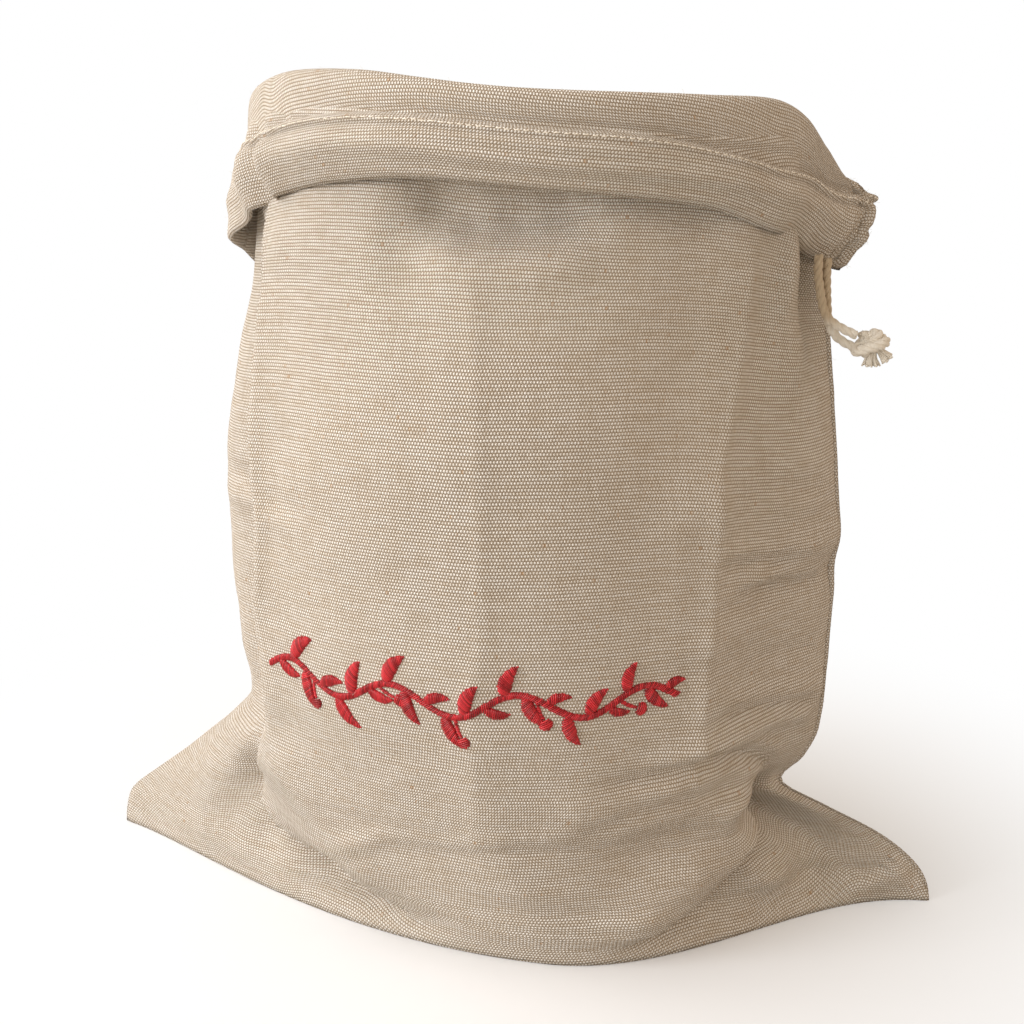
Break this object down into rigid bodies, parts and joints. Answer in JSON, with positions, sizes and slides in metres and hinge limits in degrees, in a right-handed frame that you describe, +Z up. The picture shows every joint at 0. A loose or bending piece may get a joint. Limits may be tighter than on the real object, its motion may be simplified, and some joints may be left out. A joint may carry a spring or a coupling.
{
  "type": "linen drawstring bread bag",
  "caption": "Flat linen drawstring bag standing open and full on its base, mouth turned out into a cuff, lower corners spread as ears, knotted cord end at one side.",
  "frame": {"origin": "centre of the bag's box at the underside of its flat base", "axes": "+Z up, X along the two lower corners, -Y towards the front of the bag"},
  "size_m": [0.3, 0.1616, 0.275],
  "materials": {
    "linen": "coarse undyed plain weave, matt",
    "cord": "twisted off-white cotton, matt"
  },
  "bodies": {
    "root": {"bag": "linen", "drawstring_strand_front": "cord", "drawstring_strand_back": "cord", "drawstring_knot": "cord"}
  },
  "joints": []
}
